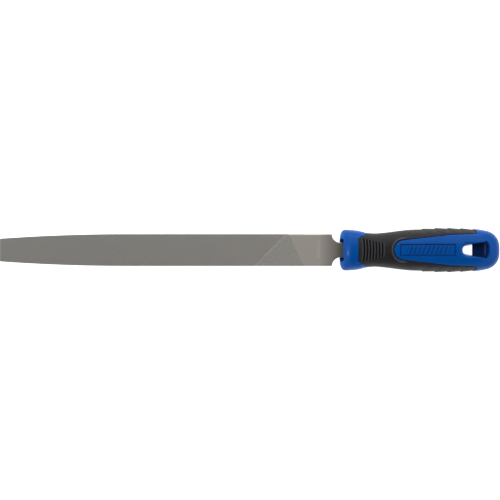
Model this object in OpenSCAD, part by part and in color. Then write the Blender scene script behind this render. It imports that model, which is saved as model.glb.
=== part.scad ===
// Flat file for metalwork with a two-component handle.
// +X runs from the blade's tip to the handle's butt, +Y is across the blade's width and
// +Z is out of its upper face. The origin is the centre of the whole file. Millimetres.

/* [Blade] */
// Length from the square tip to the shoulders
blade_len = 250; // [200:5:300]
// Width of the parallel part
blade_w = 24; // [21:0.5:27]
// Thickness of the parallel part
blade_t = 6; // [5:0.5:7]
// Width of the square tip
tip_w = 17.3; // [12:0.1:20]
// Thickness of the tip
tip_t = 4.2; // [3:0.1:4.8]
// Length of the curved taper behind the tip
taper_len = 95; // [60:5:140]

/* [Tang] */
// Length from the shoulders to the tang's end
tang_len = 70; // [50:1:75]
// Width where the tang leaves the shoulders
tang_w = 11.2; // [9:0.1:12]
// Width at the tang's end
tang_end_w = 4.4; // [3:0.1:7]
// Thickness at the tang's end
tang_end_t = 2.4; // [1.6:0.1:3.6]
// Gap all round between the tang and its socket
tang_gap = 0.15; // [0.1:0.05:0.3]

/* [Handle] */
// Length from the collar's front face to the butt
handle_len = 120.6; // [112:0.2:130]
// Largest width
handle_w = 33.6; // [31:0.2:37]
// Largest thickness
handle_t = 25.4; // [23:0.2:28]
// Bare tang between the shoulders and the collar
neck_len = 5.8; // [3:0.2:10]
// Thickness of the soft grip
grip_t = 2.4; // [1.6:0.1:3]

/* [Socket mouth] */
// Width of the recess in the collar's front face
mouth_w = 16.5; // [14:0.1:17.5]
// Height of the recess
mouth_t = 12.4; // [9:0.1:13]
// Depth of the recess
mouth_depth = 6; // [4:0.5:9]
// Thickness of the sill left in the recess on each side of the tang
sill_t = 2; // [1:0.1:4]

/* [Hanging hole] */
// Radius of the hole's round end
hang_r = 2.9; // [2.6:0.1:3.8]
// Angle that each side of the fan opens by
hang_flare = 9.5; // [5:0.5:11]
// Thickness of the web between the two pockets behind the hole
web_t = 4.4; // [3:0.1:6]

/* [Hidden] */

// The outline was drawn for a handle of this length; stations along X scale from it
drawn_len = 120.6;
k_len = handle_len / drawn_len;
k_wide = handle_w / 33.6;
total_len = blade_len + neck_len + handle_len;
tip_x = -total_len / 2;
shoulder_x = tip_x + blade_len;
collar_x = shoulder_x + neck_len;
reach = 60; // further than any part of the handle from the axis

tang_straight = 3; // how far past the collar's front face the tang stays straight
end_gap = 4; // the socket is this many gaps longer than the tang

// Stations along the handle, from the collar's front face
collar_edge = 13.4 * k_len;
fin_tip = 21.6 * k_len;
tongue_nose = 47.3 * k_len;
strip_end = 102.4 * k_len;
hang_at = 94.9 * k_len;
web_edge = 100 * k_len;
pocket_end = 110.9 * k_len;
panel_from = 44.5 * k_len;
panel_to = 85.6 * k_len;
nose_len = 9.5 * k_len;
cap_at = 100 * k_len;

collar_flat = 9.2 * k_wide; // half width of the straight middle of the collar's edge
fin_half = 12.7 * k_wide; // half width at the fin's point
tongue_r = 7.3 * k_wide;
tongue_mid = [81.9 * k_len, 11.4 * k_wide];
tongue_end = [101.6 * k_len, 12.2 * k_wide];
panel_w = 8.7 * k_wide;
panel_depth = 0.7;
pocket_arc_r = 9; // radius of the fan's wide end, in plan
pocket_fillet = 5; // radius where a pocket's floor turns up to its end wall

section_n = 2.3; // superellipse exponent of the handle's section
SIDES = 48; // points round one section
ARC_STEPS = 10; // straight pieces in an arc drawn as points
LINES = 10; // straight pieces in each curved taper of the blade

// Handle outline: [share of the length, share of the width, share of the thickness]
OUTLINE = [
    [0.000, 0.918, 0.905],
    [0.058, 0.918, 0.915],
    [0.116, 0.875, 0.885],
    [0.166, 0.786, 0.835],
    [0.216, 0.750, 0.810],
    [0.282, 0.783, 0.828],
    [0.381, 0.872, 0.890],
    [0.498, 0.958, 0.965],
    [0.630, 1.000, 1.000],
    [0.763, 0.982, 0.962],
    [0.862, 0.938, 0.895],
    [0.912, 0.880, 0.850],
    [1.000, 0.790, 0.770]
];

// Slope of column c of the outline at row i
function slope(c, i) =
    let (a = max(i - 1, 0), b = min(i + 1, len(OUTLINE) - 1))
    (OUTLINE[b][c] - OUTLINE[a][c]) / (OUTLINE[b][0] - OUTLINE[a][0]);

// Column c of the outline at share u of the length, as a cubic between two rows
function along(c, u, i = 0) =
    (i < len(OUTLINE) - 2 && u > OUTLINE[i + 1][0]) ? along(c, u, i + 1) :
    let (
        step = OUTLINE[i + 1][0] - OUTLINE[i][0],
        t = (u - OUTLINE[i][0]) / step,
        p = OUTLINE[i][c],
        q = OUTLINE[i + 1][c],
        m = slope(c, i) * step,
        n = slope(c, i + 1) * step
    )
    p + m * t + (3 * (q - p) - 2 * m - n) * t * t + (m + n - 2 * (q - p)) * t * t * t;

// Rounding of an end: 0 at the end (s = 1) and 1 where the rounding starts (s = 0)
function cap(s, power) = s <= 0 ? 1 : pow(max(0, 1 - pow(s, power)), 1 / power);

// Half width and half thickness of the handle at station h
function half_w(h) =
    handle_w / 2 * along(1, h / handle_len)
    * cap(1 - (h + 0.35) / 5.35, 3)
    * cap((h - 108.5 * k_len) / (handle_len + 0.1 - 108.5 * k_len), 2.5);
function half_t(h) =
    handle_t / 2 * along(2, h / handle_len)
    * cap(1 - (h + 0.35) / (nose_len + 0.35), 1.7)
    * cap((h - cap_at) / (handle_len + 0.1 - cap_at), 2.3);

// Stations of the sections: close together where the ends curve
STATIONS = concat(
    [for (i = [0:8]) nose_len * (1 - cos(90 * i / 8))],
    [for (i = [1:22]) nose_len + (cap_at - nose_len) * i / 22],
    [for (i = [1:10]) cap_at + (handle_len - cap_at) * sin(9 * i)]
);

function signed_pow(v, p) = sign(v) * pow(abs(v), p);

// One section of the handle, set in by inset all round
function section(h, inset) = [
    for (i = [0:SIDES - 1])
        let (a = 360 * i / SIDES)
        [
            collar_x + h,
            max(half_w(h) - inset, 0.3) * signed_pow(cos(a), 2 / section_n),
            max(half_t(h) - inset, 0.3) * signed_pow(sin(a), 2 / section_n)
        ]
];

// Closed solid through the handle's sections
module envelope(inset = 0) {
    rings = len(STATIONS);
    last = (rings - 1) * SIDES;
    points = [for (h = STATIONS) each section(h, inset)];
    front = [[for (i = [0:SIDES - 1]) i]];
    back = [[for (i = [0:SIDES - 1]) last + SIDES - 1 - i]];
    wall = [
        for (r = [0:rings - 2], i = [0:SIDES - 1])
            let (a = r * SIDES + i, b = r * SIDES + (i + 1) % SIDES)
            each [[a, a + SIDES, b + SIDES], [a, b + SIDES, b]]
    ];
    polyhedron(points = points, faces = concat(front, back, wall), convexity = 6);
}

// A plan in the file's own frame, made a prism through it
module plan_prism() {
    translate([0, 0, -reach / 2])
        linear_extrude(height = reach)
            children();
}

// A plan drawn from the collar's front face, made a prism through the handle
module through_z() {
    translate([collar_x, 0, 0])
        plan_prism()
            children();
}

// A side view (X across, Z up) in the file's own frame, made a prism across it
module through_y() {
    translate([0, reach / 2, 0])
        rotate([90, 0, 0])
            linear_extrude(height = reach)
                children();
}

// Half outline and its mirror image about the X axis, as one closed outline
function mirrored(half) = concat(half, [for (i = [len(half) - 1:-1:0]) [half[i][0], -half[i][1]]]);

// Outline of the blade, in plan or from the side, from half size a at the tip to b
function blade_half(a, b, end) = concat(
    [for (i = [0:LINES]) [tip_x + taper_len * i / LINES, b - (b - a) * pow(1 - i / LINES, 2)]],
    [[end, b]]
);

// Half sizes of the tang, grown by gap: straight as far as the socket, then tapered to its end
function tang_half(root, end, gap) = [
    [shoulder_x - 1, root / 2 + gap],
    [collar_x + tang_straight, root / 2 + gap],
    [shoulder_x + tang_len + end_gap * gap, end / 2 + gap]
];

// Bar of the tang, grown by gap all round and further at its end
module tang_bar(gap = 0) {
    intersection() {
        plan_prism() polygon(mirrored(tang_half(tang_w, tang_end_w, gap)));
        through_y() polygon(mirrored(tang_half(blade_t, tang_end_t, gap)));
    }
}

// Plan of the blade, with quarter-round scallops between the shoulders and the tang
module blade_plan() {
    scallop_r = (blade_w - tang_w) / 2;
    difference() {
        polygon(mirrored(blade_half(tip_w / 2, blade_w / 2, shoulder_x + scallop_r)));
        for (side = [-1, 1])
            translate([shoulder_x + scallop_r, side * blade_w / 2])
                circle(r = scallop_r, $fn = 64);
    }
}

// Blade and tang, forged in one
module file_blade() {
    color("dimgray") {
        intersection() {
            plan_prism() blade_plan();
            through_y() polygon(mirrored(blade_half(tip_t / 2, blade_t / 2, shoulder_x + blade_w)));
        }
        tang_bar();
    }
}

// Plan of the area that the soft grip covers, tongue left out
module grip_plan() {
    polygon(mirrored([
        [collar_edge, collar_flat - 1],
        [collar_edge + 1, collar_flat],
        [fin_tip, fin_half],
        [fin_tip + 1, reach / 2],
        [strip_end, reach / 2]
    ]));
}

// Plan of the hard tongue that shows in the grip's upper and lower faces
module tongue_plan() {
    translate([tongue_nose, 0])
        circle(r = tongue_r, $fn = 64);
    polygon(mirrored([[tongue_nose - 0.9, tongue_r], tongue_mid, tongue_end, [handle_len, tongue_end[1]]]));
}

// Room for the soft grip round the handle's core
module grip_space() {
    difference() {
        through_z() grip_plan();
        through_z() tongue_plan();
        envelope(grip_t);
    }
}

// Half width of the fan-shaped hanging hole at station h
function fan_half(h) = hang_r / cos(hang_flare) + (h - hang_at) * tan(hang_flare);

// Plan of the fan-shaped hanging hole
module hang_plan() {
    wide = pocket_end - 2.2;
    translate([hang_at, 0])
        circle(r = hang_r, $fn = 64);
    polygon(mirrored([
        [hang_at - hang_r * sin(hang_flare), hang_r * cos(hang_flare)],
        [wide, fan_half(wide)]
    ]));
    intersection() {
        translate([pocket_end - pocket_arc_r, 0])
            circle(r = pocket_arc_r, $fn = 96);
        polygon(mirrored([[wide - 1, fan_half(wide - 1)], [pocket_end + 1, fan_half(pocket_end + 1)]]));
    }
}

// Points along an arc of radius r about c, angle a1 to angle a2
function arc(c, r, a1, a2) = [
    for (i = [0:ARC_STEPS])
        let (a = a1 + (a2 - a1) * i / ARC_STEPS)
        c + r * [cos(a), sin(a)]
];

// Web behind the hole, seen from the side: a round edge, and a fillet up to each pocket's end wall
module web_profile() {
    floor_z = web_t / 2;
    edge_at = [collar_x + web_edge + floor_z, 0];
    fillet_at = [collar_x + pocket_end + 0.6 - pocket_fillet, floor_z + pocket_fillet];
    polygon(mirrored(concat(
        arc(edge_at, floor_z, 172, 90),
        arc(fillet_at, pocket_fillet, -90, 0),
        [[collar_x + handle_len, fillet_at[1]]]
    )));
}

// Hanging hole: fan-shaped pockets in both faces, open to each other in front of the web
module hang_hole() {
    intersection() {
        through_z() hang_plan();
        through_y() difference() {
            translate([collar_x + hang_at - reach / 2, -reach / 2])
                square(reach);
            web_profile();
        }
    }
}

// Socket that the tang is driven into, and the recess round its mouth, above and below the sill
module socket() {
    tang_bar(tang_gap);
    for (side = [0, 1])
        mirror([0, 0, side])
            translate([collar_x - 1, -mouth_w / 2, sill_t / 2])
                cube([mouth_depth + 1, mouth_w, (mouth_t - sill_t) / 2]);
}

// Shallow panels in the tongue, one in each face
module panels() {
    difference() {
        through_z()
            translate([panel_from, -panel_w / 2])
                square([panel_to - panel_from, panel_w]);
        envelope(panel_depth);
    }
}

// Hard plastic handle: collar, core, tongues and butt in one moulding
module handle_body() {
    color("royalblue")
        difference() {
            envelope();
            grip_space();
            socket();
            hang_hole();
            panels();
        }
}

// Soft grip moulded round the core
module soft_grip() {
    color("#2b2b2e")
        intersection() {
            envelope();
            grip_space();
        }
}

file_blade();
handle_body();
soft_grip();
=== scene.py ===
"""Looks of a flat file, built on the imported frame: toothed blade, blue handle and black soft grip."""
import math

import bmesh
import bpy
import numpy as np
from mathutils import Matrix, Vector


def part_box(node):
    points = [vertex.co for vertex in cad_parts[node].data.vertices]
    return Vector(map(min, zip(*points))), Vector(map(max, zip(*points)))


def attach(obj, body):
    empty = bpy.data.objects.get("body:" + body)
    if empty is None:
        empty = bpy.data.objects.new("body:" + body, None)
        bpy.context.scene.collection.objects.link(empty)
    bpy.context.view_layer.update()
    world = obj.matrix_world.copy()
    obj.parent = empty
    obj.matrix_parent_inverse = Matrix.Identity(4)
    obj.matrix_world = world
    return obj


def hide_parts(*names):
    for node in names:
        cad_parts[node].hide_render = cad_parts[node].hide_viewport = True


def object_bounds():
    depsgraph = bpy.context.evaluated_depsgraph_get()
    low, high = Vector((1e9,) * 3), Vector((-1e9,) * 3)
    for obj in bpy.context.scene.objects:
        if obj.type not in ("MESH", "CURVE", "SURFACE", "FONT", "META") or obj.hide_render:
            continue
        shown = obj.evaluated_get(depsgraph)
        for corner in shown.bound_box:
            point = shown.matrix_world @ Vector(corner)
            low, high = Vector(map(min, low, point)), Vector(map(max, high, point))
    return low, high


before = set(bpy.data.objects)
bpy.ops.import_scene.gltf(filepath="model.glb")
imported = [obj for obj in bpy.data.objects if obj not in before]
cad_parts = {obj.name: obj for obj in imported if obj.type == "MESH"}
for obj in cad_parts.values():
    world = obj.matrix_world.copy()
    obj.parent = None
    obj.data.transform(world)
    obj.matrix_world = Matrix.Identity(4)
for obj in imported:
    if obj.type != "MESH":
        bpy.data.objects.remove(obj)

MM = 0.001
cad_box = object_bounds()

# --- Sizes, in millimetres, from the frame -------------------------------------------------------------

blade_low, blade_high = (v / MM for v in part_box("file_blade"))
body_low, body_high = (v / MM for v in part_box("handle_body"))
grip_low, grip_high = (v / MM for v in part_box("soft_grip"))

TIP_X = blade_low.x
BLADE_W = 2 * blade_high.y
BLADE_T = 2 * blade_high.z
COLLAR_X = body_low.x
HANDLE_LEN = body_high.x - body_low.x
HANDLE_W = 2 * grip_high.y
HANDLE_T = 25.4
SCALE_X = HANDLE_LEN / 120.6  # the handle's stations were drawn for this length
STRIP_END = grip_high.x - COLLAR_X
COLLAR_EDGE = grip_low.x - COLLAR_X

BLADE_LEN = 250
SHOULDER_X = TIP_X + BLADE_LEN
TIP_W = 17.3
TIP_T = 4.2
TAPER_LEN = 95
TANG_LEN = 70
TANG_W = 11.2
TANG_END_W = 4.4
TANG_END_T = 2.4
GRIP_T = 2.4

# --- Implicit surfaces ---------------------------------------------------------------------------------
# A field is a function of (h, y, z) arrays in millimetres. It is negative inside the solid and close to the
# distance from its surface. h runs along the file from the piece's own start.


def rounded_max(a, b, r):
    """Intersection of two fields, with a round of radius r on the outer edge."""
    return np.minimum(-r, np.maximum(a, b)) + np.hypot(np.maximum(a + r, 0), np.maximum(b + r, 0))


def smooth_step(t):
    t = np.clip(t, 0, 1)
    return t * t * (3 - 2 * t)


def outline_distance(x, y, corners):
    """Distance from a closed outline in a plane, negative inside it."""
    x, y = np.broadcast_arrays(np.asarray(x, float), np.asarray(y, float))
    nearest = np.full(x.shape, 1e12)
    inside = np.zeros(x.shape, bool)
    for (x0, y0), (x1, y1) in zip(corners, corners[1:] + corners[:1]):
        ex, ey = x1 - x0, y1 - y0
        t = np.clip(((x - x0) * ex + (y - y0) * ey) / max(ex * ex + ey * ey, 1e-12), 0, 1)
        nearest = np.minimum(nearest, (x - x0 - t * ex) ** 2 + (y - y0 - t * ey) ** 2)
        if ey:
            inside ^= ((y0 > y) != (y1 > y)) & (x < x0 + (y - y0) * ex / ey)
    return np.where(inside, -1, 1) * np.sqrt(nearest)


def mirrored(half):
    """Half an outline and its mirror image about the X axis, as one closed outline."""
    return [tuple(p) for p in half] + [(x, -y) for x, y in reversed(half)]


def value_and_slope(field, points, step=0.03):
    """A field and its gradient at each point."""
    value = field(*points.T)
    slope = np.empty_like(points)
    for axis in range(3):
        ahead = points.copy()
        ahead[:, axis] += step
        slope[:, axis] = (field(*ahead.T) - value) / step
    return value, slope


def surface_points(field, axes):
    """Surface nets: a vertex in each cell that the surface crosses, and a quad on each crossed grid edge."""
    f = field(axes[0][:, None, None], axes[1][None, :, None], axes[2][None, None, :])
    full = tuple(len(a) for a in axes)
    f = np.broadcast_to(f, full)
    solid = f < 0
    corners = [(i, j, k) for i in (0, 1) for j in (0, 1) for k in (0, 1)]
    count = np.zeros([n - 1 for n in full], np.int8)
    for i, j, k in corners:
        count += solid[i:full[0] - 1 + i, j:full[1] - 1 + j, k:full[2] - 1 + k]
    cells = np.argwhere((count > 0) & (count < 8))
    number = np.full(count.shape, -1)
    number[tuple(cells.T)] = np.arange(len(cells))
    total, crossings = np.zeros((len(cells), 3)), np.zeros(len(cells))
    for a in corners:
        for axis in range(3):
            if a[axis]:
                continue
            b = tuple(1 if n == axis else v for n, v in enumerate(a))
            fa, fb = f[tuple((cells + a).T)], f[tuple((cells + b).T)]
            crossed = (fa < 0) != (fb < 0)
            t = np.where(crossed, fa / np.where(crossed, fa - fb, 1), 0)
            place = np.array(a, float) + t[:, None] * (np.array(b) - np.array(a))
            total += place * crossed[:, None]
            crossings += crossed
    points = total / crossings[:, None]
    for axis, lines in enumerate(axes):
        at = cells[:, axis]
        points[:, axis] = lines[at] + points[:, axis] * (lines[at + 1] - lines[at])
    quads = []
    for axis in range(3):
        u, v = (axis + 1) % 3, (axis + 2) % 3
        low = [slice(None)] * 3
        high = [slice(None)] * 3
        low[axis], high[axis] = slice(None, -1), slice(1, None)
        for side in (u, v):
            low[side] = high[side] = slice(1, -1)
        near, far = solid[tuple(low)], solid[tuple(high)]
        shift = np.array([0 if n == axis else 1 for n in range(3)])
        edges = np.argwhere(near != far)
        outward = near[tuple(edges.T)]
        edges += shift
        ring = []
        for du, dv in ((-1, -1), (0, -1), (0, 0), (-1, 0)):
            at = edges.copy()
            at[:, u] += du
            at[:, v] += dv
            ring.append(number[tuple(at.T)])
        ring = np.stack(ring, 1)
        ring[~outward] = ring[~outward][:, ::-1]
        quads.append(ring)
    return points, np.concatenate(quads), cells, number


def grid_lines(low, high, cell, fine_low=0.0, fine_high=0.0, fine=1.0):
    """Even grid lines from just below low to just above high, closer together from fine_low to fine_high."""
    samples = 4000
    walk = np.linspace(low - 1.5 * cell, high + 1.5 * cell, samples)
    density = np.where((walk > fine_low) & (walk < fine_high), 1 / fine, 1 / cell)
    passed = np.concatenate([[0], np.cumsum((density[1:] + density[:-1]) / 2 * np.diff(walk))])
    return np.interp(np.linspace(0, passed[-1], int(passed[-1]) + 1), passed, walk)


def implicit_mesh(name, field, axes, origin_x, even=True):
    """Mesh of a field's surface, its vertices moved onto it and its normals taken from it.

    An even field is the same above and below the middle plane, so the lower half can mirror the upper one.
    """
    points, quads, cells, number = surface_points(field, axes)
    reach = 0.4 * min(np.diff(lines).min() for lines in axes)  # the furthest a vertex moves in one pass
    layers = number.shape[2]
    upper = np.flatnonzero(2 * cells[:, 2] >= layers - 1) if even else np.arange(len(cells))
    lower = number[cells[upper, 0], cells[upper, 1], layers - 1 - cells[upper, 2]]
    moved = points[upper]
    for _ in range(3):
        value, slope = value_and_slope(field, moved)
        move = -value[:, None] * slope / np.maximum((slope ** 2).sum(1), 0.2)[:, None]
        length = np.linalg.norm(move, axis=1, keepdims=True)
        moved += move * np.minimum(1, reach / np.maximum(length, 1e-9))
    slope = value_and_slope(field, moved)[1]
    slope /= np.maximum(np.linalg.norm(slope, axis=1, keepdims=True), 1e-9)
    normals = np.empty_like(points)
    for half, sign in ((lower, -1), (upper, 1))[0 if even else 1:]:
        points[half] = moved * [1, 1, sign]
        normals[half] = slope * [1, 1, sign]
    mesh = bpy.data.meshes.new(name)
    places = (points + [origin_x, 0, 0]) * MM
    mesh.from_pydata(places.tolist(), [], quads.tolist())
    mesh.shade_smooth()
    mesh.normals_split_custom_set_from_vertices(normals.tolist())
    return mesh


# --- Handle: shape -------------------------------------------------------------------------------------

SECTION_N = 2.3
WIDE = HANDLE_W / 33.6

# Handle outline: share of the length, share of the width, share of the thickness
OUTLINE = np.array([
    (0.000, 0.918, 0.905),
    (0.058, 0.918, 0.915),
    (0.116, 0.875, 0.885),
    (0.166, 0.786, 0.835),
    (0.216, 0.750, 0.810),
    (0.282, 0.783, 0.828),
    (0.381, 0.872, 0.890),
    (0.498, 0.958, 0.965),
    (0.630, 1.000, 1.000),
    (0.763, 0.982, 0.962),
    (0.862, 0.938, 0.895),
    (0.912, 0.880, 0.850),
    (1.000, 0.790, 0.770),
])
# Rounding of the two ends, in thickness and in width. It runs on past the faces, so that they keep some size.
NOSE_LEN = 9.5 * SCALE_X
NOSE_W_LEN = 5
NOSE_PAST = 0.35
CAP_AT = 100 * SCALE_X
CAP_W_AT = 108.5 * SCALE_X
CAP_PAST = 0.1

FIN_TIP = (21.6 * SCALE_X, 12.7 * WIDE)
EDGE_HALF = 9.2 * WIDE
TONGUE_NOSE = 47.3 * SCALE_X
TONGUE_R = 7.3 * WIDE
TONGUE_MID = (81.9 * SCALE_X, 11.4 * WIDE)
TONGUE_END = (101.6 * SCALE_X, 12.2 * WIDE)
PANEL_FROM, PANEL_TO = 44.5 * SCALE_X, 85.6 * SCALE_X
PANEL_HALF = 4.35 * WIDE
PANEL_DEPTH = 0.65
PANEL_RIB_H = 0.42
HANG_AT = 94.9 * SCALE_X
HANG_R = 2.9
HANG_FLARE = math.radians(9.5)
HANG_DRAFT = 0.1  # how far the hole's walls lean out for each millimetre up
WEB_EDGE = 100 * SCALE_X
WEB_HALF = 2.2
POCKET_END = 110.9 * SCALE_X
POCKET_SIDE_END = POCKET_END - 2.2
POCKET_ARC_R = 9
POCKET_FILLET = 5
# The bevel round the hole: its width and depth beside the hole's front and, BEVEL_RUN further on, behind it
BEVEL_W = (2.8, 1.2)
BEVEL_DEPTH = (2.4, 0.8)
BEVEL_RUN = 8
RECESS_HALF_W = 8.25
RECESS_HALF_T = 6.2
RECESS_R = 2.2
RECESS_DEPTH = 6
SILL_HALF = 1.0
SOCKET_GAP = 0.04
SOCKET_SPARE = 0.6  # from the tang's end to the socket's
FAR = 40  # past the handle on either side


def along(column, u):
    """A column of the outline at share u of the length, as cubics between its rows."""
    x, y = OUTLINE[:, 0], OUTLINE[:, column]
    m = np.gradient(y, x)
    m[1:-1] = (y[2:] - y[:-2]) / (x[2:] - x[:-2])
    u = np.clip(u, 0, 1)
    i = np.clip(np.searchsorted(x, u, side="right") - 1, 0, len(x) - 2)
    step = x[i + 1] - x[i]
    t = (u - x[i]) / step
    p, q, mp, mq = y[i], y[i + 1], m[i] * step, m[i + 1] * step
    return p + mp * t + (3 * (q - p) - 2 * mp - mq) * t ** 2 + (mp + mq - 2 * (q - p)) * t ** 3


def cap(s, power):
    """Rounding of an end: 1 where it starts (s = 0) and 0 at the end (s = 1)."""
    return np.maximum(0, 1 - np.clip(s, 0, 1) ** power) ** (1 / power)


def half_w(h):
    nose = cap(1 - (h + NOSE_PAST) / (NOSE_W_LEN + NOSE_PAST), 3)
    butt = cap((h - CAP_W_AT) / (HANDLE_LEN + CAP_PAST - CAP_W_AT), 2.5)
    return HANDLE_W / 2 * along(1, h / HANDLE_LEN) * nose * butt


def half_t(h):
    nose = cap(1 - (h + NOSE_PAST) / (NOSE_LEN + NOSE_PAST), 1.7)
    butt = cap((h - CAP_AT) / (HANDLE_LEN + CAP_PAST - CAP_AT), 2.3)
    return HANDLE_T / 2 * along(2, h / HANDLE_LEN) * nose * butt


def skin(h, y, z, inset=0.0):
    """The handle's smooth outer surface, or that surface set in."""
    e = 0.02
    w, t = (np.maximum(half(h) - inset, 0.3) for half in (half_w, half_t))
    dw, dt = ((half(h + e) - half(h - e)) / (2 * e) for half in (half_w, half_t))
    a = (np.abs(y) / w) ** SECTION_N
    b = (np.abs(z) / t) ** SECTION_N
    s = np.maximum(a + b, 1e-6)
    q = s ** (1 / SECTION_N)
    k = q / s
    slope_y = k * a / np.maximum(np.abs(y), 1e-3)
    slope_z = k * b / np.maximum(np.abs(z), 1e-3)
    slope_h = k * (a * dw / w + b * dt / t)
    return (q - 1) / np.maximum(np.sqrt(slope_y ** 2 + slope_z ** 2 + slope_h ** 2), 1e-3)


def arc(x, y, r, start, end, count):
    """Points along an arc, with its angles in degrees."""
    angles = [math.radians(start + (end - start) * i / (count - 1)) for i in range(count)]
    return [(x + r * math.cos(a), y + r * math.sin(a)) for a in angles]


def fan_half(h):
    """Half width of the hanging hole between its straight sides."""
    return HANG_R / math.cos(HANG_FLARE) + (h - HANG_AT) * math.tan(HANG_FLARE)


GRIP_PLAN = mirrored([
    (COLLAR_EDGE, EDGE_HALF - 1.2),
    (COLLAR_EDGE + 0.4, EDGE_HALF - 0.4),
    (COLLAR_EDGE + 1.2, EDGE_HALF),
    FIN_TIP,
    (FIN_TIP[0] + 1, FAR),
    (STRIP_END, FAR),
])
TONGUE_PLAN = mirrored(
    arc(TONGUE_NOSE, 0, TONGUE_R, 180, 97, 14)
    + [TONGUE_MID, TONGUE_END, (HANDLE_LEN + FAR, TONGUE_END[1])]
)
FAN_PLAN = mirrored(
    arc(HANG_AT, 0, HANG_R, 180, 90 + math.degrees(HANG_FLARE), 10)
    + [(POCKET_SIDE_END, fan_half(POCKET_SIDE_END))]
    + arc(POCKET_END - POCKET_ARC_R, 0, POCKET_ARC_R, 38, 0, 10)
)


def grip_room(h, y, z):
    """Space of the soft grip: round the core, behind the collar and outside the tongues."""
    plan = np.maximum(outline_distance(h, y, GRIP_PLAN), -outline_distance(h, y, TONGUE_PLAN))
    return np.maximum(plan, -skin(h, y, z, GRIP_T))


def rounded_box(y, z, half_y, half_z, r):
    """Distance from a rectangle with round corners, negative inside it."""
    ay, az = np.abs(y) - half_y + r, np.abs(z) - half_z + r
    return np.hypot(np.maximum(ay, 0), np.maximum(az, 0)) + np.minimum(np.maximum(ay, az), 0) - r


TAPER_FROM = 3
TANG_END = SHOULDER_X + TANG_LEN - COLLAR_X


def tang_half_y(h, gap=0.0):
    return np.interp(h, [TAPER_FROM, TANG_END], [TANG_W / 2 + gap, TANG_END_W / 2 + gap])


def tang_half_z(h, gap=0.0):
    return np.interp(h, [TAPER_FROM, TANG_END], [BLADE_T / 2 + gap, TANG_END_T / 2 + gap])


def socket(h, y, z):
    """Recess in the collar's face, above and below a sill, and the tapered socket behind it."""
    recess = np.maximum(rounded_box(y, z, RECESS_HALF_W, RECESS_HALF_T, RECESS_R), h - RECESS_DEPTH)
    recess = np.maximum(recess, SILL_HALF - np.abs(z))
    bore = np.maximum(np.abs(y) - tang_half_y(h, SOCKET_GAP), np.abs(z) - tang_half_z(h, SOCKET_GAP))
    bore = np.maximum(bore, h - TANG_END - SOCKET_SPARE)
    return recess, bore


def hanging_hole(h, y, z):
    """Fan-shaped pockets in both faces, open to each other in front of the web."""
    fan = outline_distance(h, y, FAN_PLAN) - HANG_DRAFT * np.abs(z)
    web = np.hypot(np.maximum(WEB_EDGE + WEB_HALF - h, 0), z) - WEB_HALF
    past = h - POCKET_END - 0.6 + POCKET_FILLET
    over = np.abs(z) - WEB_HALF - POCKET_FILLET
    fillet = np.maximum(np.maximum(-past, over), POCKET_FILLET - np.hypot(past, over))
    return np.maximum(fan, -np.minimum(web, fillet))


def panel_plan(h, y):
    """Distance from the panel's outline, negative inside it."""
    middle = (PANEL_FROM + PANEL_TO) / 2
    return rounded_box(h - middle, y, (PANEL_TO - PANEL_FROM) / 2, PANEL_HALF, 0.6)


def panel_ribs(h, y):
    """Slanted ribs on the panel's floor: 1 on a rib, 0 between, and 1 all over their field."""
    pitch, count, lean = 3.2, 10, 0.36
    half_rib, half_field, off_middle, edge = 0.65, 3.1, 0.6, 0.3
    s = h - lean * y - (PANEL_FROM + PANEL_TO) / 2 - off_middle
    near = np.abs((s / pitch + count / 2) % 1 - 0.5) * pitch - half_rib
    field = np.maximum(np.abs(y) - half_field, np.abs(s) - pitch * count / 2)
    return smooth_step(0.5 - np.maximum(near, field) / edge), smooth_step(0.5 - field / edge)


def painted_shade_amount(h, y, z):
    """How much shade is painted on the moulding: along the panel's walls, between its ribs and deep in its
    openings.
    """
    depth = -skin(h, y, z)
    plan = panel_plan(h, y)
    rib, field = panel_ribs(h, y)
    panel = np.maximum(np.exp(-((plan + 0.15) / 0.4) ** 2), 0.35 * (field - rib))
    panel = np.where((plan < 0.3) & (depth < 2 * PANEL_DEPTH), panel, 0)
    # painted shade grows with depth below the skin, in the hanging hole's pocket and the socket's recess
    return np.maximum(panel, 0.95 * smooth_step((depth - 1) / 5))


def hole_bevel(h, y, z):
    """Space cut away round the hanging hole's rim, wide at its front and narrow behind it."""
    wide, deep = (np.interp(h, [HANG_AT, HANG_AT + BEVEL_RUN], sizes) for sizes in (BEVEL_W, BEVEL_DEPTH))
    from_fan = np.maximum(outline_distance(h, y, FAN_PLAN), 0)
    return (from_fan / wide - 1 - skin(h, y, z) / deep) / np.hypot(1 / wide, 1 / deep)


def handle_body_field(h, y, z):
    """Moulded handle: the smooth skin less the grip's space, the socket, the hole and the panel."""
    outer = rounded_max(rounded_max(skin(h, y, z), -h, 0.5), h - HANDLE_LEN, 1.0)
    solid = rounded_max(outer, -grip_room(h, y, z), 0.45)
    recess, bore = socket(h, y, z)
    solid = rounded_max(solid, -recess, np.interp(np.abs(z), [1.5, 4], [0.3, 0.9]))
    solid = np.maximum(solid, -bore)
    solid = rounded_max(solid, -hanging_hole(h, y, z), 0.5)
    solid = rounded_max(solid, -hole_bevel(h, y, z), 0.35)
    floor = skin(h, y, z) + PANEL_DEPTH - PANEL_RIB_H * panel_ribs(h, y)[0]
    return rounded_max(solid, -np.maximum(panel_plan(h, y), -floor), 0.15)


RIB_PITCH = 2.27 * SCALE_X
RIB_H = 0.25
FIRST_GROOVE = 17.9 * SCALE_X
GROOVES = 7
GROOVE_DEPTH = 1.3
FAINT_DEPTH = 0.3  # of the shallow groove in front of the first one
STEP_PITCH = 9.6 * SCALE_X
FIRST_STEP = 52 * SCALE_X
STEP_H = 0.6
RIM_H = 0.75


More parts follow.
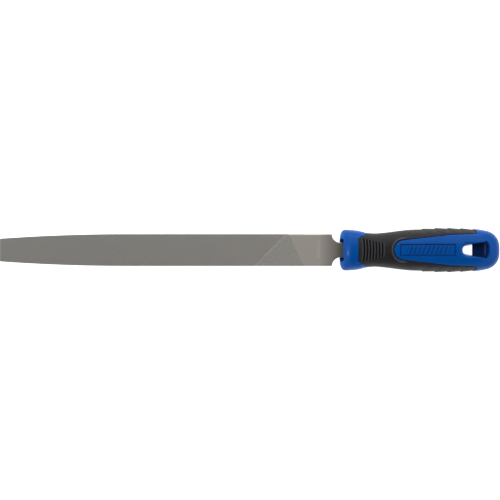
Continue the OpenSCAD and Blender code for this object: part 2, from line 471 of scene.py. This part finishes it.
def grip_relief(h, y):
    """Height of the soft grip's surface over the smooth skin, and 0 to 1 for how near a ridge's crest it is,
    which sets a painted highlight there.

    The ridges are the thumb ribs, the steps along the flanks and the rim at the tongue's nose.
    """
    bowed = h + 0.6 * (y / 8) ** 2
    half = np.interp(h, [FIRST_GROOVE - 2, FIRST_GROOVE + 6 * RIB_PITCH], [8.5, 5.0])
    ends = smooth_step((half - np.abs(y)) / 0.9 + 0.5)
    relief, crest = 0.0, 0.0
    for i in range(-1, GROOVES):
        depth = FAINT_DEPTH if i < 0 else GROOVE_DEPTH
        past = bowed - FIRST_GROOVE - i * RIB_PITCH
        ridge = ends * np.exp(-((past - RIB_PITCH / 2) / 0.5) ** 2)
        relief = relief - depth * ends * np.exp(-(past / 0.44) ** 2) + RIB_H * ridge
        crest = np.maximum(crest, 0.6 * ridge)
    inward = half_w(h) - np.abs(y)
    s = (h - 0.8 * inward - FIRST_STEP) / STEP_PITCH
    part = s % 1
    step = smooth_step(part * STEP_PITCH / 0.6) - part
    flank = smooth_step((4.5 - inward) / 2.5) * smooth_step(s * 8 + 0.5)
    relief = relief + STEP_H * flank * (step - 1)
    crest = np.maximum(crest, flank * np.exp(-((part * STEP_PITCH - 0.4) / 0.4) ** 2))
    away = outline_distance(h, y, TONGUE_PLAN)
    lip = np.exp(-((away - 1.25) / 0.5) ** 2)
    nose = smooth_step((TONGUE_NOSE + 4 - h) / 6)
    relief = relief + RIM_H * nose * (lip - 0.5 * np.exp(-((away - 0.2) / 0.45) ** 2))
    return relief, np.maximum(crest, nose * lip)


def soft_grip_field(h, y, z):
    """Soft grip: its room in the handle, with a hairline gap on the plastic, up to the ribbed surface."""
    plan = np.maximum(outline_distance(h, y, GRIP_PLAN), -outline_distance(h, y, TONGUE_PLAN)) + 0.05
    outer = skin(h, y, z) - grip_relief(h, y)[0]
    return np.maximum(rounded_max(outer, plan, 0.45), -skin(h, y, z, GRIP_T) + 0.03)


# --- Blade: shape --------------------------------------------------------------------------------------
# Two cuts cross on the faces. Their strokes lean at these angles from the blade's long axis, and each cut
# stops at a line across the blade: u = X sin + Y cos for the one, v = X sin - Y cos for the other.

FULL_CUT = math.radians(65)
CROSS_CUT = math.radians(46)
FULL_PITCH = 1.05
CROSS_PITCH = 1.07
FULL_FROM = -185
CROSS_FROM = -150
FULL_END = 30.7
CROSS_END = 11.6
# Where the full cut's slanted end meets the blade's two sides: toothed right across before, plain after
EDGE_END = (FULL_END - BLADE_W / 2 * math.cos(FULL_CUT)) / math.sin(FULL_CUT)
HEEL_START = (FULL_END + BLADE_W / 2 * math.cos(FULL_CUT)) / math.sin(FULL_CUT)
EDGE_DEPTH = 0.08
EDGE_SLANT = 0.35
EDGE_BAR_W = 1.2
TOOTH_DEPTH = 0.3
FACE_INSET = 0.15
CREST_AT, BACK_AT = 0.22, 0.6  # shares of a pitch, from the valley, on the steep and the long side
BACK_DEPTH = 0.55
OVERLAP = 0.4  # how far each half of the blade reaches past the middle plane


def blade_half(x, at_tip, at_heel):
    """Half width or half thickness: full at the heel, drawn in along a parabola towards the tip."""
    to_tip = np.clip((x - TIP_X) / TAPER_LEN, 0, 1)
    return at_heel - (at_heel - at_tip) * (1 - to_tip) ** 2


def blade_half_w(x):
    return blade_half(x, TIP_W / 2, BLADE_W / 2)


def blade_half_t(x):
    return blade_half(x, TIP_T / 2, BLADE_T / 2)


def stroke_lines(start, end, pitch, seed, hollow=True, last=1.0):
    """Places of the lines that make up a row of strokes, and how deep each lies as a share of a tooth.

    Each stroke has a valley, a crest and, where its back is hollow, a line between them. The last valley is
    at end.
    """
    rng = np.random.default_rng(seed)
    count = int((end - start) / pitch)
    valleys = end - pitch * np.arange(count, 0, -1)
    places = [valleys, valleys + pitch * CREST_AT + rng.uniform(-0.015, 0.015, count)]
    levels = [np.ones(count), rng.uniform(0, 0.06, count)]
    if hollow:
        places.append(valleys + pitch * BACK_AT)
        levels.append(np.full(count, BACK_DEPTH))
    places, levels = (np.stack(lines, 1).ravel() for lines in (places, levels))
    return np.append(places, end), np.append(levels, last)


def clip_triangles(points, triangles, outside):
    """The part of a triangle mesh where the value outside is negative."""
    inside = outside[triangles] < 0
    keep = triangles[inside.all(1)].tolist()
    mixed = triangles[inside.any(1) & ~inside.all(1)]
    points = points.tolist()
    cuts = {}

    def crossing(a, b):
        key = (min(a, b), max(a, b))
        if key not in cuts:
            t = outside[key[0]] / (outside[key[0]] - outside[key[1]])
            cuts[key] = len(points)
            points.append([p + t * (q - p) for p, q in zip(points[key[0]], points[key[1]])])
        return cuts[key]

    for triangle in mixed.tolist():
        ring = []
        for a, b in zip(triangle, triangle[1:] + triangle[:1]):
            if outside[a] < 0:
                ring.append(a)
            if (outside[a] < 0) != (outside[b] < 0):
                ring.append(crossing(a, b))
        keep += [[ring[0], ring[i], ring[i + 1]] for i in range(1, len(ring) - 1)]
    return np.array(points), keep


def closed_below(points, faces, floor):
    """Closes an upward-facing sheet with walls down to a floor height and a flat underside."""
    edges = dict.fromkeys((a, b) for face in faces for a, b in zip(face, face[1:] + face[:1]))
    rim = {a: b for a, b in edges if (b, a) not in edges}
    points = points.tolist()
    faces = list(faces)
    while rim:
        start, at = rim.popitem()
        loop = [start]
        while at != start:
            loop.append(at)
            at = rim.pop(at)
        under = {a: len(points) + i for i, a in enumerate(loop)}
        points += [[points[a][0], points[a][1], floor] for a in loop]
        for a, b in zip(loop, loop[1:] + loop[:1]):
            faces.append([b, a, under[a], under[b]])
        faces.append([under[a] for a in reversed(loop)])
    return points, faces


def toothed_face():
    """Upper half of the toothed blade: the cut face, closed by walls down past the middle plane."""
    plain_step, plain_to = 2.5, 45
    us, u_levels = stroke_lines(FULL_FROM, FULL_END, FULL_PITCH, 3)
    vs, v_levels = stroke_lines(CROSS_FROM, CROSS_END, CROSS_PITCH, 5, hollow=False, last=0.4)
    plain = np.arange(CROSS_END + plain_step, plain_to, plain_step)
    plain = np.append(CROSS_END + CROSS_PITCH * CREST_AT, plain)
    us, u_levels = np.append(us, FULL_END + 0.4), np.append(u_levels, 1)
    vs, v_levels = np.append(vs, plain), np.append(v_levels, 0 * plain)
    u, v = np.meshgrid(us, vs, indexing="ij")
    turn = math.sin(FULL_CUT + CROSS_CUT)
    x = (u * math.cos(CROSS_CUT) + v * math.cos(FULL_CUT)) / turn
    y = (u * math.sin(CROSS_CUT) - v * math.sin(FULL_CUT)) / turn
    level = np.maximum(u_levels[:, None], v_levels[None, :])
    z = blade_half_t(x) - TOOTH_DEPTH * level
    outside = np.maximum(np.abs(y) - blade_half_w(x), TIP_X - x) + FACE_INSET
    number = np.arange(u.size).reshape(u.shape)
    a, b, c, d = (n.ravel() for n in (number[:-1, :-1], number[1:, :-1], number[1:, 1:], number[:-1, 1:]))
    triangles = np.concatenate([np.stack([a, c, b], 1), np.stack([a, d, c], 1)])
    points = np.stack([x.ravel(), y.ravel(), z.ravel()], 1)
    points, faces = clip_triangles(points, triangles, outside.ravel())
    used = sorted({a for face in faces for a in face})
    renumber = {old: new for new, old in enumerate(used)}
    faces = [[renumber[a] for a in face] for face in faces]
    return closed_below(points[used], faces, -OVERLAP)


def edge_bar(side):
    """Narrow edge of the blade as a closed bar: single cut on a slant, and plain behind the last stroke."""
    places, levels = stroke_lines(TIP_X + 0.3, EDGE_END, FULL_PITCH, 7 + side)
    places = np.append(places, (EDGE_END + 0.3, HEEL_START + 0.5))
    levels = np.append(levels, (0.05, 0.05))
    points = []
    for x, level in zip(places, levels):
        half_y, half_z = float(blade_half_w(x)), float(blade_half_t(x)) - TOOTH_DEPTH
        outer, inner = half_y - EDGE_DEPTH * level, half_y - EDGE_BAR_W
        for y, z in ((outer, -half_z), (outer, half_z), (inner, half_z), (inner, -half_z)):
            slant = 0 if x < TIP_X + 3 else EDGE_SLANT * z
            points.append((x + slant, side * y, z))
    faces = [[3, 2, 1, 0]]
    count = len(places)
    for i in range(count - 1):
        for k in range(4):
            near, far = 4 * i + k, 4 * i + (k + 1) % 4
            faces.append([near, far, far + 4, near + 4])
    faces.append([4 * (count - 1) + k for k in range(4)])
    if side < 0:
        faces = [face[::-1] for face in faces]
    return points, faces


def heel_field(h, y, z):
    """Plain heel, shoulders and tang; h is X here."""
    lower = np.where(z < 0, -1, 1)
    front = FULL_END - (h * math.sin(FULL_CUT) + lower * y * math.cos(FULL_CUT))
    half = BLADE_W / 2
    scallop_r = half - TANG_W / 2
    block = np.maximum(np.abs(y) - half, h - SHOULDER_X)
    neck = scallop_r - np.hypot(h - SHOULDER_X - scallop_r, np.abs(y) - half)
    neck = np.maximum(np.maximum(neck, np.abs(y) - half), np.abs(h - SHOULDER_X) - scallop_r)
    thick = np.abs(z) - BLADE_T / 2
    wide = rounded_max(np.minimum(block, neck), thick, 0.6)
    from_collar = h - COLLAR_X
    tang = rounded_max(np.abs(y) - tang_half_y(from_collar), np.abs(z) - tang_half_z(from_collar), 0.35)
    tang = np.maximum(np.maximum(tang, SHOULDER_X + scallop_r - 0.5 - h), h - SHOULDER_X - TANG_LEN)
    return np.maximum(np.minimum(wide, tang), front)


def tip_block():
    """The blade's square front end, with a small bevel."""
    bevel, length = 0.25, 2
    half_y, half_z = TIP_W / 2 - bevel, TIP_T / 2 - TOOTH_DEPTH
    points = []
    for x, cut in ((TIP_X, bevel), (TIP_X + bevel, 0), (TIP_X + length, 0)):
        for sy, sz in ((-1, -1), (1, -1), (1, 1), (-1, 1)):
            points.append((x, sy * (half_y - cut), sz * (half_z - cut)))
    faces = [[0, 3, 2, 1], [8, 9, 10, 11]]
    for ring in (0, 4):
        for k in range(4):
            n = (k + 1) % 4
            faces.append([ring + k, ring + n, ring + 4 + n, ring + 4 + k])
    return points, faces


def object_from(name, points, faces):
    mesh = bpy.data.meshes.new(name)
    mesh.from_pydata([[MM * value for value in p] for p in points], [], faces)
    return link(bpy.data.objects.new(name, mesh))


def link(piece):
    bpy.context.collection.objects.link(piece)
    return piece


def united(first, *others):
    """Joins closed meshes into one closed mesh, with nothing left inside."""
    for other in others:
        union = first.modifiers.new(other.name, "BOOLEAN")
        union.operation = "UNION"
        union.solver = "MANIFOLD"
        union.object = other
    bpy.context.view_layer.update()
    whole = first.evaluated_get(bpy.context.evaluated_depsgraph_get())
    mesh = bpy.data.meshes.new_from_object(whole)
    first.modifiers.clear()
    first.data = mesh
    for other in others:
        bpy.data.objects.remove(other)
    return first


# --- Materials -----------------------------------------------------------------------------------------


class Nodes:
    """Short calls for building one material's node tree."""

    def __init__(self, name):
        self.material = bpy.data.materials.new(name)
        self.material.use_nodes = True
        self.tree = self.material.node_tree
        self.shader = self.tree.nodes["Principled BSDF"]

    def add(self, kind, **settings):
        node = self.tree.nodes.new(kind)
        for key, value in settings.items():
            setattr(node, key, value)
        return node

    def wire(self, source, target):
        self.tree.links.new(source, target)

    def feed(self, socket, value):
        if isinstance(value, bpy.types.NodeSocket):
            self.wire(value, socket)
        else:
            socket.default_value = value

    def place(self, stretch=(1, 1, 1)):
        """Object coordinates in millimetres, stretched along each axis."""
        coordinates = self.add("ShaderNodeTexCoord")
        scale = self.add("ShaderNodeVectorMath", operation="MULTIPLY")
        self.wire(coordinates.outputs["Object"], scale.inputs[0])
        scale.inputs[1].default_value = [1000 * s for s in stretch]
        return scale.outputs[0]

    def noise(self, place, scale, detail=2.0, roughness=0.5, distortion=0.0):
        node = self.add("ShaderNodeTexNoise")
        self.wire(place, node.inputs["Vector"])
        node.inputs["Scale"].default_value = scale
        node.inputs["Detail"].default_value = detail
        node.inputs["Roughness"].default_value = roughness
        node.inputs["Distortion"].default_value = distortion
        return node.outputs["Fac"]

    def math(self, operation, a, b):
        node = self.add("ShaderNodeMath", operation=operation)
        self.feed(node.inputs[0], a)
        self.feed(node.inputs[1], b)
        return node.outputs[0]

    def ramp(self, value, *stops):
        node = self.add("ShaderNodeValToRGB")
        self.wire(value, node.inputs["Fac"])
        elements = node.color_ramp.elements
        elements[0].position, elements[0].color = stops[0][0], (*stops[0][1], 1)
        elements[1].position, elements[1].color = stops[-1][0], (*stops[-1][1], 1)
        for position, colour in stops[1:-1]:
            elements.new(position).color = (*colour, 1)
        return node.outputs["Color"]

    def span(self, value, low, high, to_low, to_high):
        node = self.add("ShaderNodeMapRange")
        self.feed(node.inputs["Value"], value)
        for key, number in zip(("From Min", "From Max", "To Min", "To Max"), (low, high, to_low, to_high)):
            node.inputs[key].default_value = number
        return node.outputs["Result"]

    def mix(self, factor, a, b):
        node = self.add("ShaderNodeMix", data_type="RGBA")
        for socket, value in zip((node.inputs[0], node.inputs[6], node.inputs[7]), (factor, a, b)):
            self.feed(socket, value if not isinstance(value, tuple) else (*value, 1))
        return node.outputs[2]

    def attribute(self, name):
        return self.add("ShaderNodeAttribute", attribute_name=name).outputs["Fac"]

    def bump(self, height, distance):
        """Bump from a height of 0 to 1 that stands for a distance in millimetres."""
        node = self.add("ShaderNodeBump")
        self.wire(height, node.inputs["Height"])
        node.inputs["Distance"].default_value = distance * MM
        node.inputs["Strength"].default_value = 1.0
        self.wire(node.outputs["Normal"], self.shader.inputs["Normal"])

    def set(self, **values):
        for key, value in values.items():
            self.feed(self.shader.inputs[key.replace("_", " ")], value)


def grey(level):
    return (level, level, level)


def blue_plastic():
    """Glossy blue polypropylene: a faint moulded ripple, cloudy colour, fine handling scuffs and painted
    shade in its recesses.
    """
    n = Nodes("blue_plastic")
    cloud = n.noise(n.place(), 0.09, 3)
    base = n.ramp(cloud, (0.3, (0.0005, 0.093, 0.43)), (0.7, (0.0005, 0.104, 0.475)))
    # painted shade: the blue is mixed towards deep navy where the shade attribute is high
    base = n.mix(n.math("MULTIPLY", n.attribute("shade"), 0.8), base, (0.003, 0.015, 0.08))
    scuffs = n.noise(n.place((0.25, 1, 1)), 1.6, 4, 0.7, 0.4)
    n.set(Base_Color=base, Roughness=n.span(scuffs, 0.35, 0.75, 0.20, 0.29))
    n.set(IOR=1.49, Specular_IOR_Level=0.18)
    ripple = n.noise(n.place(), 0.55, 2)
    n.bump(ripple, 0.006)
    return n.material


def black_rubber():
    """Matt black soft grip: fine moulded texture, and a painted highlight along its ridges' crests."""
    n = Nodes("black_rubber")
    cloud = n.noise(n.place(), 0.12, 3)
    base = n.ramp(cloud, (0.3, (0.010, 0.010, 0.012)), (0.7, (0.015, 0.015, 0.018)))
    # painted highlight: the rubber is paler along rib crests, the flank steps' lips and the tongue's rim
    base = n.mix(n.attribute("crest"), base, (0.08, 0.08, 0.085))
    fine = n.noise(n.place(), 6.0, 3, 0.6)
    n.set(Base_Color=base, Roughness=n.span(fine, 0.3, 0.7, 0.5, 0.62))
    n.set(IOR=1.5, Specular_IOR_Level=0.4)
    n.bump(fine, 0.03)
    return n.material


# A row of paler ticks across the heel
TICKS_AT = 51.8
TICKS_W = 13.8
TICK_LEN = 2.6
TICK_PITCH = 1.24
TICK_W = 0.6


def cut_steel():
    """Hardened file steel: bright tooth edges and painted shade in the gullets, a ground heel with ticks, and
    a painted reflection that dims from the heel to the tang.
    """
    n = Nodes("cut_steel")
    toothed = n.attribute("toothed")
    painted_gullet_shade = n.attribute("painted_gullet_shade")
    grind = n.noise(n.place((0.12, 2.5, 1)), 1.3, 4, 0.6)
    place = n.add("ShaderNodeSeparateXYZ")
    n.wire(n.place(), place.inputs[0])
    to_tang = n.span(place.outputs["X"], 52, 68, 0, 1)
    # painted reflection: bright on the heel, falling off to dark on the tang
    heel = n.mix(to_tang, (0.65, 0.605, 0.55), (0.255, 0.225, 0.2))
    heel = n.mix(n.span(grind, 0.35, 0.7, 0, 0.2), heel, (0.42, 0.40, 0.375))
    ticks = n.math("LESS_THAN", n.math("PINGPONG", place.outputs["Y"], TICK_PITCH / 2), TICK_W / 2)
    for axis, middle, half_size in (("X", TICKS_AT, TICK_LEN / 2), ("Y", 0.0, TICKS_W / 2)):
        near = n.math("COMPARE", place.outputs[axis], middle)
        near.node.inputs[2].default_value = half_size
        ticks = n.math("MULTIPLY", ticks, near)
    heel = n.mix(n.math("MULTIPLY", ticks, 0.22), heel, (1.0, 0.96, 0.9))
    worn = n.span(n.noise(n.place(), 0.02, 3), 0.3, 0.7, 0, 1)
    crest = n.mix(worn, (0.58, 0.555, 0.515), (0.565, 0.55, 0.53))
    # painted shade: the teeth darken towards the gullets' floors
    teeth = n.mix(painted_gullet_shade, crest, (0.20, 0.19, 0.175))
    n.set(Base_Color=n.mix(toothed, heel, teeth))
    n.set(Metallic=1.0)
    n.set(Roughness=n.mix(toothed, n.span(grind, 0.3, 0.7, 0.5, 0.62), grey(0.45)))
    n.bump(grind, 0.008)
    return n.material


def pale_floor():
    """White paper sweep, bright enough to lose its shadows."""
    n = Nodes("pale_floor")
    fibre = n.noise(n.place(), 0.8, 3)
    n.set(Base_Color=n.ramp(fibre, (0.3, grey(0.86)), (0.7, grey(0.88))))
    n.set(Roughness=0.9, Emission_Color=(1, 1, 1, 1), Emission_Strength=0.95)
    return n.material


# --- Pieces --------------------------------------------------------------------------------------------


def finish_piece(piece, material, body, node):
    piece.data.materials.clear()
    piece.data.materials.append(material)
    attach(piece, body)
    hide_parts(node)


def vertex_places(mesh):
    """Columns of a mesh's vertices, in millimetres."""
    places = np.empty(3 * len(mesh.vertices))
    mesh.vertices.foreach_get("co", places)
    return places.reshape(-1, 3).T / MM


def point_values(mesh, name, values):
    mesh.attributes.new(name, "FLOAT", "POINT").data.foreach_set("value", values)


def make_blade():
    upper = object_from("steel_blade", *toothed_face())
    lower = object_from("lower_face", *toothed_face())
    lower.data.transform(Matrix.Rotation(math.pi, 4, "X"))
    edges = [object_from("edge_bar", *edge_bar(side)) for side in (-1, 1)]
    cell = 0.48
    axes = [
        grid_lines(FULL_END - 8, SHOULDER_X + TANG_LEN, cell),
        grid_lines(-BLADE_W / 2, BLADE_W / 2, cell),
        grid_lines(-BLADE_T / 2, BLADE_T / 2, cell),
    ]
    heel = implicit_mesh("heel", heel_field, axes, 0, even=False)
    heel = link(bpy.data.objects.new("heel", heel))
    blade = united(upper, lower, *edges, heel, object_from("tip_block", *tip_block()))
    mesh = blade.data
    x, y, z = vertex_places(mesh)
    u = x * math.sin(FULL_CUT) + np.sign(z) * y * math.cos(FULL_CUT)
    depth = np.minimum(blade_half_t(x) - np.abs(z), 3 * (blade_half_w(x) - np.abs(y)))
    single_cut = x * math.sin(CROSS_CUT) - np.sign(z) * y * math.cos(CROSS_CUT) > CROSS_END
    darkness = np.where(single_cut, 1, 0.63)  # the crossed gullets shade each other already
    # painted shade in the gullets, by depth below the face
    point_values(mesh, "painted_gullet_shade", darkness * np.clip(depth / TOOTH_DEPTH, 0, 1))
    on_side = np.abs(y) > blade_half_w(x) - 1.5 * EDGE_DEPTH
    below_face = np.abs(z) < blade_half_t(x) - TOOTH_DEPTH + 0.01
    toothed = np.where(on_side & below_face, x - EDGE_SLANT * z < EDGE_END + 0.1, u < FULL_END + 0.02)
    point_values(mesh, "toothed", toothed.astype(float))
    mesh.attributes.remove(mesh.attributes["custom_normal"])
    mesh.shade_smooth()
    mesh.set_sharp_from_angle(angle=math.radians(32))
    finish_piece(blade, cut_steel(), "file", "file_blade")


def make_handle():
    scale = 1.0
    cell, fine = 0.52 * scale, 0.27 * scale
    across = (-HANDLE_W / 2, HANDLE_W / 2)
    through = (-HANDLE_T / 2, HANDLE_T / 2)
    axes = [
        grid_lines(0, HANDLE_LEN, cell, PANEL_FROM - 1, PANEL_TO + 1, fine),
        grid_lines(*across, cell, -PANEL_HALF - 0.8, PANEL_HALF + 0.8, fine),
        grid_lines(*through, cell),
    ]
    body = implicit_mesh("moulded_handle", handle_body_field, axes, COLLAR_X)
    body = link(bpy.data.objects.new("moulded_handle", body))
    h, y, z = vertex_places(body.data)
    # painted shade for the moulding's recesses, kept as a point attribute
    point_values(body.data, "shade", painted_shade_amount(h - COLLAR_X, y, z))
    finish_piece(body, blue_plastic(), "handle", "handle_body")
    axes = [
        grid_lines(COLLAR_EDGE, STRIP_END, cell, FIRST_GROOVE - 3, FIRST_GROOVE + GROOVES * RIB_PITCH, fine),
        grid_lines(*across, cell),
        grid_lines(*through, cell),
    ]
    grip = implicit_mesh("soft_grip_sleeve", soft_grip_field, axes, COLLAR_X)
    grip = link(bpy.data.objects.new("soft_grip_sleeve", grip))
    h, y, z = vertex_places(grip.data)
    outside = skin(h - COLLAR_X, y, z) > -GRIP_T / 2
    # painted highlight along the grip's ridges, on its outer surface only
    point_values(grip.data, "crest", outside * grip_relief(h - COLLAR_X, y)[1])
    finish_piece(grip, black_rubber(), "handle", "soft_grip")


# --- Camera, floor and light ---------------------------------------------------------------------------

CAMERA_HEIGHT = 0.9
CAMERA_OVER = (0.00015, 0.00004)
FRAME_WIDTH = 0.377  # of the view at the blade's middle plane


def make_camera():
    data = bpy.data.cameras.new("camera")
    data.sensor_width = 36
    data.lens = data.sensor_width * CAMERA_HEIGHT / FRAME_WIDTH
    camera = link(bpy.data.objects.new("camera", data))
    camera.location = (*CAMERA_OVER, CAMERA_HEIGHT)
    bpy.context.scene.camera = camera


def make_floor():
    mesh = bpy.data.meshes.new("floor")
    builder = bmesh.new()
    bmesh.ops.create_grid(builder, x_segments=1, y_segments=1, size=3)
    builder.to_mesh(mesh)
    floor = link(bpy.data.objects.new("floor", mesh))
    floor.location = (0, 0, cad_box[0][2] - 0.0003)
    mesh.materials.append(pale_floor())


def softbox(name, place, size, power):
    data = bpy.data.lights.new(name, "AREA")
    data.shape = "RECTANGLE"
    data.size, data.size_y = size
    data.energy = power
    light = link(bpy.data.objects.new(name, data))
    light.location = place
    light.rotation_euler = (-Vector(place)).to_track_quat("-Z", "Y").to_euler()


def make_light():
    """Light tent, stronger from +Y: bright half way up, dimmer at the horizon and dark overhead."""
    world = bpy.data.worlds.new("tent")
    bpy.context.scene.world = world
    world.use_nodes = True
    tree = world.node_tree
    direction = tree.nodes.new("ShaderNodeTexCoord")
    tilt = tree.nodes.new("ShaderNodeVectorMath")
    tilt.operation = "DOT_PRODUCT"
    tilt.inputs[1].default_value = (0, -0.35, 1)
    ramp = tree.nodes.new("ShaderNodeValToRGB")
    elements = ramp.color_ramp.elements
    elements[0].position, elements[0].color = 0.2, (*grey(0.5), 1)
    elements[1].position, elements[1].color = 0.9, (*grey(0.05), 1)
    for height in (0.42, 0.72):
        elements.new(height).color = (*grey(1), 1)
    tree.links.new(direction.outputs["Generated"], tilt.inputs[0])
    tree.links.new(tilt.outputs["Value"], ramp.inputs["Fac"])
    tree.links.new(ramp.outputs["Color"], tree.nodes["Background"].inputs["Color"])
    across = tree.nodes.new("ShaderNodeSeparateXYZ")
    tree.links.new(direction.outputs["Generated"], across.inputs[0])
    strength = tree.nodes.new("ShaderNodeMapRange")
    for key, value in (("From Min", -1), ("From Max", 0.4), ("To Min", 0.5), ("To Max", 1.15)):
        strength.inputs[key].default_value = value
    tree.links.new(across.outputs["Y"], strength.inputs["Value"])
    tree.links.new(strength.outputs["Result"], tree.nodes["Background"].inputs["Strength"])
    softbox("upper_softbox", (0, 0.9, 0.4), (1.4, 0.3), 2)
    softbox("left_strip", (-0.9, -0.1, 0.5), (0.04, 0.25), 1.2)


make_camera()
make_floor()
make_light()
make_blade()
make_handle()
bpy.context.scene.view_settings.view_transform = "Standard"
